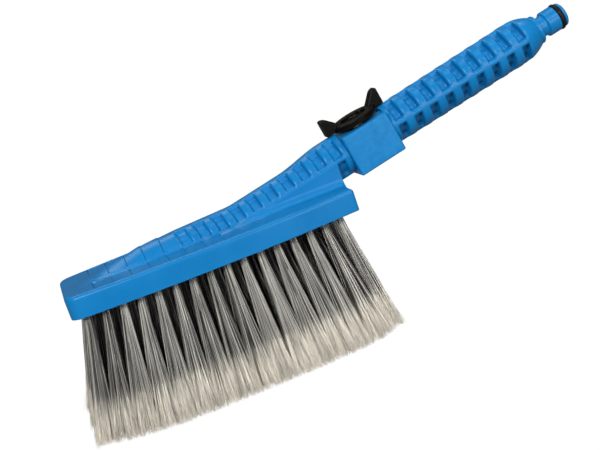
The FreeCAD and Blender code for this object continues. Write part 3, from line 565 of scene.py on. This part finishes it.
def low_dome(x, y, z):
    """The spine's low end: a wide dome that runs out into the block's top."""
    top = np.interp(x, CREST_X, CREST_Z)
    fall = np.maximum(top, 0)
    across = np.minimum(np.abs(y) / spine_foot(x), 1.5)
    slope = DOME_POWER * fall / spine_foot(x) * across ** (DOME_POWER - 1)
    dome = (z - top + fall * across ** DOME_POWER) / np.sqrt(1 + slope * slope)
    return meet(dome, np.abs(y) - spine_foot(x) - 0.6, 0.3)


def spine_field(x, y, z):
    """The ribbed spine: a dome at the block's free end that turns into the round neck."""
    along, up = to_handle(x, z)
    swell = (NECK_RADIUS - SPINE_HALF) * neck_swell(along)
    half = np.interp(along, CREST_ALONG, CREST_RISE) + swell
    crest = np.interp(along, CREST_ALONG, CREST_UP) + swell
    centre = crest - half
    level = np.sqrt((y / NECK_RADIUS) ** 2 + ((up - centre) / half) ** 2)
    steep = np.sqrt((y / NECK_RADIUS ** 2) ** 2 + ((up - centre) / half ** 2) ** 2)
    tube = (level - 1) * level / (steep + 1e-6)
    share = np.clip((x - 38.0) / 28.0, 0, 1)
    share = share * share * (3 - 2 * share)
    shape = low_dome(x, y, z) * (1 - share) + tube * share
    shape = cut_free_cells(shape, x, z)
    turn = nearest_turn(along, 2.25 - (SPINE_POCKETS - 1) * RING_PITCH, RING_PITCH, SPINE_POCKETS)
    depth = np.interp(along - turn, [-102.0, -78.0], [1.6, 3.7])
    pocket = meet(np.abs(turn) - POCKET_LENGTH / 2 + 0.3, CREST_HALF - np.abs(y), 1.0)
    over = RIB_HALF - up - 4 * np.clip((-85.0 - along) / 20.0, 0, 1)
    above = meet(meet(pocket, over, 0.8), FOOT_BAND - z, 0.3)
    below = meet(meet(pocket, RIB_HALF + up, 0.8), BLOCK_LENGTH + 0.6 - x, 0.3)
    pocket = meet(np.minimum(above, below), -shape - depth, 1.2)
    shape = cut(shape, pocket, 1.6)
    return meet(meet(shape, along - BOX_START, 0.3), SPINE_START - x, 0.3)


def side_bulge(x):
    """How far the block's long sides stand out past their ends."""
    return SIDE_BULGE * (1 - (2 * x / BLOCK_LENGTH - 1) ** 2)


def plan_field(x, y):
    """The block's outline from above."""
    corner = np.where(x < BLOCK_LENGTH / 2, FREE_CORNER, HANDLE_CORNER)
    across = np.abs(x - BLOCK_LENGTH / 2) - BLOCK_LENGTH / 2 + corner
    side = np.abs(y) - HALF_WIDTH - side_bulge(x) + corner
    reach = np.sqrt(np.maximum(across, 0) ** 2 + np.maximum(side, 0) ** 2)
    return reach + np.minimum(np.maximum(across, side), 0) - corner


def head_field(x, y, z):
    """The brush head: block, web and spine, hollow inside and with its water bore."""
    plan = plan_field(x, y)
    block = meet(plan, z, TOP_ROUND)
    turn = cell_turn(x, BLOCK_CELLS)
    cell = meet(np.abs(turn) - CELL_LENGTH / 2, np.abs(y) - CELL_SPAN - side_bulge(x), 0.2)
    cell = meet(cell, spine_foot(x) + 0.4 - np.abs(y), 0.2)
    cell = meet(cell, -cell_sink(turn, 0.52) - z, 0.1)
    block = cut(block, cell, 0.12)
    along, up = to_handle(x, z)
    web = meet(np.abs(y) - WEB_HALF, up, 0.3)
    web = meet(web, x - BLOCK_LENGTH, 0.3)
    solid = join(block, web, WEB_FILLET)
    solid = meet(solid, x - BLOCK_LENGTH, 0.3)
    solid = join(solid, spine_field(x, y, z), 0.5)
    solid = meet(solid, -BLOCK_DEPTH - z, 0.3)
    solid = cut(solid, np.maximum(plan + SHELL_WALL, z + SHELL_WALL), 0.2)
    bore = np.sqrt(y * y + up * up)
    water = np.minimum(np.maximum(bore - NECK_BORE, along - 1.0), np.maximum(bore - SPIGOT_BORE, 0.5 - along))
    return cut(solid, water, 0.3)


def head_grid():
    xs = stations((-1.2, 0.55), (BLOCK_LENGTH + 15.0, 0.5))
    fine = stations((0.0, 0.55), (15.0, 0.8), (39.6, 1.0))
    ys = np.concatenate([-fine[:0:-1], fine])
    zs = stations((-14.6, 0.35), (-12.9, 1.6), (-4.0, 0.7), (-1.6, 0.28), (0.8, 0.5), (31.0, 0.5))
    return xs, ys, zs


def thin_inside(piece):
    """Merges the flat faces of the hollow, which nobody sees, so that the mesh stays light."""
    mesh = piece.data
    low, high = HEAD_X + 1.5 * MM, HEAD_X + (BLOCK_LENGTH - 1.5) * MM
    ceiling = HEAD_Z - 2.3 * MM
    bm = bmesh.new()
    bm.from_mesh(mesh)
    deep = set()
    for vert in bm.verts:
        reach = HALF_WIDTH + side_bulge((vert.co.x - HEAD_X) / MM) - 1.5
        if low < vert.co.x < high and abs(vert.co.y) < reach * MM and vert.co.z < ceiling:
            deep.add(vert)
    edges = [e for e in bm.edges if e.verts[0] in deep and e.verts[1] in deep]
    bmesh.ops.dissolve_limit(bm, angle_limit=math.radians(1.0), verts=list(deep), edges=edges)
    bm.to_mesh(mesh)
    bm.free()


def make_head(material):
    verts, quads = surface_net(head_field, *head_grid())
    verts = settle(head_field, verts, 0.25)
    piece = add_piece("head_skin", verts, quads, HEAD_PLACE, material)
    thin_inside(piece)
    matrix = np.array(HEAD_PLACE)
    count = len(piece.data.vertices)
    points = np.zeros(count * 3, np.float32)
    piece.data.vertices.foreach_get("co", points)
    local = (points.reshape(-1, 3).astype(float) - matrix[:3, 3]) / MM
    normals = slopes(head_field, local)
    normals /= np.sqrt((normals * normals).sum(1))[:, None]
    piece.data.normals_split_custom_set_from_vertices(normals)
    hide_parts("head_shell")
    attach(piece, "brush")


# ---------------------------------------------------------------- grip

GRIP_END = 153.0
GRIP_SHOULDER = 147.2
GRIP_RADIUS = 14.2
GRIP_LIP_RADIUS = 10.4
GRIP_POCKETS = 9
FIRST_POCKET = 47.25
POCKET_FLOOR = 8.6
SPIGOT_END = 49.4
WATER_BORE = 6.6
NIPPLE_START = 140.9
NIPPLE_BORE = 8.04


def grip_field(x, y, z):
    """The ribbed grip: rings and long ribs round a tube, and a domed shoulder."""
    radius = np.sqrt(y * y + z * z)
    wall = radius - np.interp(x, [BOX_END, GRIP_SHOULDER], [NECK_RADIUS, GRIP_RADIUS])
    lean = math.atan2(GRIP_RADIUS - GRIP_LIP_RADIUS, GRIP_END - 0.6 - GRIP_SHOULDER)
    cone = (radius - GRIP_RADIUS) * math.cos(lean) + (x - GRIP_SHOULDER) * math.sin(lean)
    shape = meet(wall, cone, 5.0)
    shape = meet(shape, x - GRIP_END, 0.6)
    shape = meet(shape, BOX_END - x, 0.2)
    turn = nearest_turn(x, FIRST_POCKET, RING_PITCH, GRIP_POCKETS)
    between = np.abs(turn) - POCKET_LENGTH / 2 + 0.5
    pocket = meet(between, POCKET_FLOOR - radius, 1.2)
    pocket = meet(pocket, RIB_HALF + 0.3 - np.minimum(np.abs(y), np.abs(z)), 0.8)
    shape = cut(shape, pocket, 1.7)
    bore = np.where(x < SPIGOT_END, SPIGOT_BORE, np.where(x > NIPPLE_START, NIPPLE_BORE, WATER_BORE))
    return cut(shape, radius - bore, 0.15)


def make_grip(material):
    side = stations((-15.0, 0.5), (15.0, 0.5))
    grid = (stations((BOX_END - 0.8, 0.5), (GRIP_END + 0.8, 0.5)), side, side)
    piece = field_piece("grip_skin", grip_field, grid, HANDLE_PLACE, material, 0.25)
    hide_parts("handle_grip")
    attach(piece, "brush")


# ---------------------------------------------------------------- hose nipple

def rounded_outline(points, steps=4):
    """A closed outline of (along, radius, corner round) with its corners turned into arcs."""
    outline = []
    count = len(points)
    for index, (x, r, corner) in enumerate(points):
        here = np.array((x, r))
        before = np.array(points[index - 1][:2]) - here
        after = np.array(points[(index + 1) % count][:2]) - here
        reach_before, reach_after = np.linalg.norm(before), np.linalg.norm(after)
        length = min(corner, 0.45 * reach_before, 0.45 * reach_after)
        if length < 0.02:
            outline.append(here)
            continue
        start = here + before / reach_before * length
        end = here + after / reach_after * length
        for step in range(steps + 1):
            share = step / steps
            outline.append((1 - share) ** 2 * start + 2 * share * (1 - share) * here + share ** 2 * end)
    return np.array(outline)


def lathe(name, points, place, material, turns=72):
    """A closed ring of material turned about the local X axis."""
    outline = rounded_outline(points)
    angles = np.arange(turns) * 2 * math.pi / turns
    x = np.repeat(outline[:, 0], turns)
    y = (outline[:, 1][:, None] * np.cos(angles)).ravel()
    z = (outline[:, 1][:, None] * np.sin(angles)).ravel()
    rows = np.arange(len(outline))
    after = (rows + 1) % len(outline)
    cols = np.arange(turns)
    beside = (cols + 1) % turns
    a = rows[:, None] * turns + cols
    b = rows[:, None] * turns + beside
    c = after[:, None] * turns + beside
    d = after[:, None] * turns + cols
    faces = np.stack([a, b, c, d], -1).reshape(-1, 4)
    return add_piece(name, np.stack([x, y, z], 1), faces, place, material)


def make_nipple(material):
    """Root in the grip, flange, waist, collar, O-ring groove and nose, then back along the bore."""
    points = [
        (141.0, 4.5, 0.3), (141.0, 8.0, 0.4), (145.0, 8.0, 0.15), (145.0, 6.5, 0.1), (147.2, 6.5, 0.1),
        (147.2, 8.0, 0.15), (153.05, 8.0, 0.1), (153.05, 9.5, 0.5), (155.8, 9.5, 0.6), (155.8, 6.6, 0.7),
        (160.6, 6.6, 0.6), (161.6, 8.2, 0.5), (169.4, 8.2, 0.3), (169.4, 5.5, 0.2), (173.0, 5.5, 0.2),
        (173.0, 7.85, 0.3), (174.3, 7.85, 0.5), (175.2, 6.9, 0.4), (175.2, 4.8, 0.5), (157.0, 4.8, 0.1),
        (157.0, 4.5, 0.1),
    ]
    piece = lathe("nipple_skin", points, HANDLE_PLACE, material)
    modifier = piece.modifiers.new("corners", "WEIGHTED_NORMAL")
    modifier.keep_sharp = False
    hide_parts("hose_nipple")
    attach(piece, "brush")


# ---------------------------------------------------------------- knob

KNOB_RADIUS, KNOB_BOTTOM, KNOB_RIM = 14.4, 12.7, 16.6
HUB_RADIUS, HUB_BOTTOM, HUB_TOP = 6.5, 11.4, 13.4
EAR_HALF, EAR_OUTER, EAR_BOTTOM, EAR_TOP = 3.5, 20.6, 13.9, 24.8
EAR_FOOT, EAR_TOP_INNER, EAR_ROOT = 9.3, 17.2, 8.0
RECESS_RADIUS, RECESS_FLOOR = 8.75, 14.6
STEM_HALF, STEM_TOP = 3.23, 13.03
SCREW_CLEARANCE = 1.6


def knob_field(x, y, z):
    """The winged knob, with z up the plug's axis and its two ears along x."""
    radius = np.sqrt(x * x + y * y)
    disc = meet(radius - KNOB_RADIUS, slab(z, KNOB_BOTTOM, KNOB_RIM), 0.9)
    hub = np.maximum(radius - HUB_RADIUS, slab(z, HUB_BOTTOM, HUB_TOP))
    disc = join(disc, hub, 0.3)
    reach = np.abs(x)
    slant = math.atan2(EAR_TOP - KNOB_RIM, EAR_TOP_INNER - EAR_FOOT)
    inner = (EAR_FOOT - reach) * math.sin(slant) + (z - KNOB_RIM) * math.cos(slant)
    ear = meet(np.abs(y) - EAR_HALF, reach - EAR_OUTER, 0.9)
    ear = meet(ear, z - EAR_TOP, 1.4)
    ear = meet(ear, inner, 1.6)
    ear = meet(ear, EAR_BOTTOM - z, 0.7)
    ear = np.maximum(ear, EAR_ROOT - reach)
    shape = join(disc, ear, 1.1)
    recess = np.maximum(radius - RECESS_RADIUS, RECESS_FLOOR - z)
    shape = cut(shape, recess, 0.7)
    socket = np.maximum(np.maximum(np.abs(x), np.abs(y)) - STEM_HALF, z - STEM_TOP)
    shape = cut(shape, socket, 0.15)
    return cut(shape, radius - SCREW_CLEARANCE, 0.15)


def make_knob(material):
    grid = (stations((-22.0, 0.35), (22.0, 0.3)), stations((-15.6, 0.35), (15.6, 0.3)),
            stations((10.6, 0.3), (26.0, 0.3)))
    piece = field_piece("knob_skin", knob_field, grid, VALVE_PLACE, material, 0.2)
    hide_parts("valve_knob")
    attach(piece, "knob")


# ---------------------------------------------------------------- bristles

COLUMNS, ROWS = 16, 5
FILAMENTS = 178
SPLITS = 3
TUFT_FIRST, TUFT_PITCH, TUFT_LENGTH = 9.9, 10.45, 76.8
ROW_PITCH, ROW_SHARE_OF_BULGE = 10.8, 0.42
FREE_SPLAY, END_SPLAYS, SIDE_SPLAY = 16.5, 27.0, 5.5
ROOT_RADIUS = 1.95


def tuft_ends(column, row):
    """Middle of a tuft's root and of its tip, in plan."""
    step = column + 0.5 * (row % 2)
    x = TUFT_FIRST + step * TUFT_PITCH
    y = (row - 2) * (ROW_PITCH + ROW_SHARE_OF_BULGE * side_bulge(x))
    share = step / (COLUMNS - 1)
    return np.array((x, y)), np.array((x - FREE_SPLAY + share * END_SPLAYS, y + SIDE_SPLAY * (row - 2)))


def trimmed_face(x):
    """Height of the trimmed bristle ends at a distance along the block."""
    share = np.clip((x + 6.6) / 183.75, 0, 1)
    end = np.abs(2 * share - 1)
    return -BLOCK_DEPTH - TUFT_LENGTH + np.where(share < 0.5, 5.0 * end ** 4, 4.5 * end ** 10)


def tubes(paths, radii, sides=3):
    """Thin tubes along many paths at once."""
    count, points, _ = paths.shape
    angles = np.arange(sides) * 2 * math.pi / sides
    ring = np.stack([np.cos(angles), np.sin(angles), np.zeros(sides)], 1)
    verts = paths[:, :, None, :] + radii[:, :, None, None] * ring[None, None]
    base = np.arange(count)[:, None, None] * points * sides
    step = np.arange(points - 1)[None, :, None] * sides
    side = np.arange(sides)[None, None, :]
    after = (side + 1) % sides
    quads = np.stack([base + step + side, base + step + sides + side, base + step + sides + after,
                      base + step + after], -1).reshape(-1, 4)
    return verts.reshape(-1, 3), quads


def filament_paths(rng, column, row):
    """Paths of one tuft's filaments from inside the block to the trimmed face."""
    n = FILAMENTS
    root, tip = tuft_ends(column, row)
    angle = rng.uniform(0, 2 * math.pi, n)
    share = np.sqrt(rng.uniform(0, 1, n))
    outward = np.stack([np.cos(angle), np.sin(angle)], 1) * share[:, None]
    squared = outward / np.maximum(np.abs(np.cos(angle)), np.abs(np.sin(angle)))[:, None] ** 0.9
    spread = squared * (7.6, 8.2) + rng.normal(0, 0.7, (n, 2)) + rng.normal(0, 0.4, 2)
    low = (-5.0 if column == 0 else -20.0, -6.5 if row == 0 else -20.0)
    high = (2.5 if column == COLUMNS - 1 - row % 2 else 20.0, 6.5 if row == ROWS - 1 else 20.0)
    spread = np.clip(spread, low, high)
    ends = tip + spread
    end_z = trimmed_face(ends[:, 0]) + np.abs(rng.normal(0, 0.7, n))
    along = np.array([-0.035, 0.12, 0.38, 0.66, 0.86, 1.0])
    bow = rng.normal(0, 0.4, (n, 2))
    paths = np.zeros((n, len(along), 3))
    for index, value in enumerate(along):
        go = max(value, 0.0)
        fan = go ** 1.2
        flat = root + (tip - root) * go + ROOT_RADIUS * outward * (1 - fan) + spread * fan
        paths[:, index, :2] = flat + bow * math.sin(math.pi * go)
        paths[:, index, 2] = -BLOCK_DEPTH + (end_z + BLOCK_DEPTH) * value
    return paths, along


def make_row(row, material):
    rng = np.random.default_rng(616 + row)
    verts, quads, along_values, tones = [], [], [], []
    start = 0

    def keep(paths, radii, along, tone):
        nonlocal start
        points, faces = tubes(paths, radii)
        verts.append(points)
        quads.append(faces + start)
        start += len(points)
        along_values.append(np.repeat(along.reshape(-1), 3))
        tones.append(np.repeat(tone, paths.shape[1] * 3))

    # Painted shade: the inner rows' fibres are darker, and the tones lighten toward the handle end as painted
    # light.
    painted_row_shade = (1.0, 0.8, 0.7, 0.8, 1.0)[row]
    for column in range(COLUMNS - row % 2):
        paths, along = filament_paths(rng, column, row)
        n = len(paths)
        tone = np.clip((rng.beta(1.0, 0.9, n) + rng.normal(0, 0.05)) * painted_row_shade * (0.86 + 0.02 * column), 0, 1)
        radii = np.tile(np.array([0.2, 0.2, 0.2, 0.19, 0.14, 0.06]), (n, 1))
        radii *= rng.uniform(0.85, 1.15, n)[:, None]
        keep(paths, radii, np.tile(along, (n, 1)), tone)
        for _ in range(SPLITS):
            offset = rng.normal(0, 1.0, (n, 3)) * (1, 1, 0.9)
            split = paths[:, 3:, :].copy()
            split[:, 1] += offset * 0.45
            split[:, 2] += offset
            split[:, 2, 2] = np.maximum(split[:, 2, 2], trimmed_face(split[:, 2, 0]) + 0.1)
            thin = np.tile(np.array([0.11, 0.11, 0.05]), (n, 1))
            keep(split, thin, np.tile(along[3:], (n, 1)) + 0.04, np.clip(tone + rng.normal(0, 0.15, n), 0, 1))
    piece = add_piece(f"bristles_row_{row + 1}", np.concatenate(verts), np.concatenate(quads), HEAD_PLACE,
                      material)
    mesh = piece.data
    for name, values in (("along", along_values), ("tone", tones)):
        attribute = mesh.attributes.new(name, "FLOAT", "POINT")
        attribute.data.foreach_set("value", np.concatenate(values).astype(np.float32))
    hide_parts(f"tufts_row_{row + 1}")
    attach(piece, "brush")


# ---------------------------------------------------------------- carried-over CAD nodes

def dress(names, material):
    """A procedural finish for CAD nodes whose shape is right."""
    for name in names:
        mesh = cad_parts[name].data
        mesh.materials.clear()
        mesh.materials.append(material)


def main():
    make_camera()
    make_studio()
    make_floor()
    # The blue's lighter edge colour paints a highlight along rounded edges, partly standing for wear.
    blue = moulded_plastic("blue_moulded", (0.0025, 0.153, 0.4), (0.004, 0.166, 0.426), (0.016, 0.23, 0.52),
                           0.29, 0.2, 0.25)
    # The black's warm brown edge colour is a painted highlight along the knob's rims.
    black = moulded_plastic("black_moulded", (0.0018, 0.0018, 0.0016), (0.0042, 0.004, 0.0034),
                            (0.09, 0.055, 0.03), 0.36, 0.06)
    seat = moulded_plastic("seat_moulded", (0.5, 0.5, 0.48), (0.6, 0.6, 0.57), (0.66, 0.66, 0.64), 0.3)
    fibre = bristle_fibre("fibre")
    make_head(blue)
    make_grip(blue)
    make_nipple(blue)
    make_knob(black)
    for row in range(ROWS):
        make_row(row, fibre)
    dress(["valve_body", "bristle_plate"], blue)
    dress(["valve_plug"], acetal("acetal"))
    dress([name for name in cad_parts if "port_seal" in name or "seat" in name], seat)
    dress([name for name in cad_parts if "o_ring" in name or name == "nipple_seal"], rubber("nitrile"))
    dress(["knob_screw"], metal("black_oxide", (0.012, 0.011, 0.01), (0.03, 0.028, 0.026), 0.42))
    dress(["plug_retaining_clip"], metal("stainless", (0.5, 0.5, 0.5), (0.68, 0.68, 0.67), 0.28))
    dress(["tuft_anchors"], metal("anchor_wire", (0.5, 0.46, 0.38), (0.66, 0.62, 0.52), 0.35))


main()
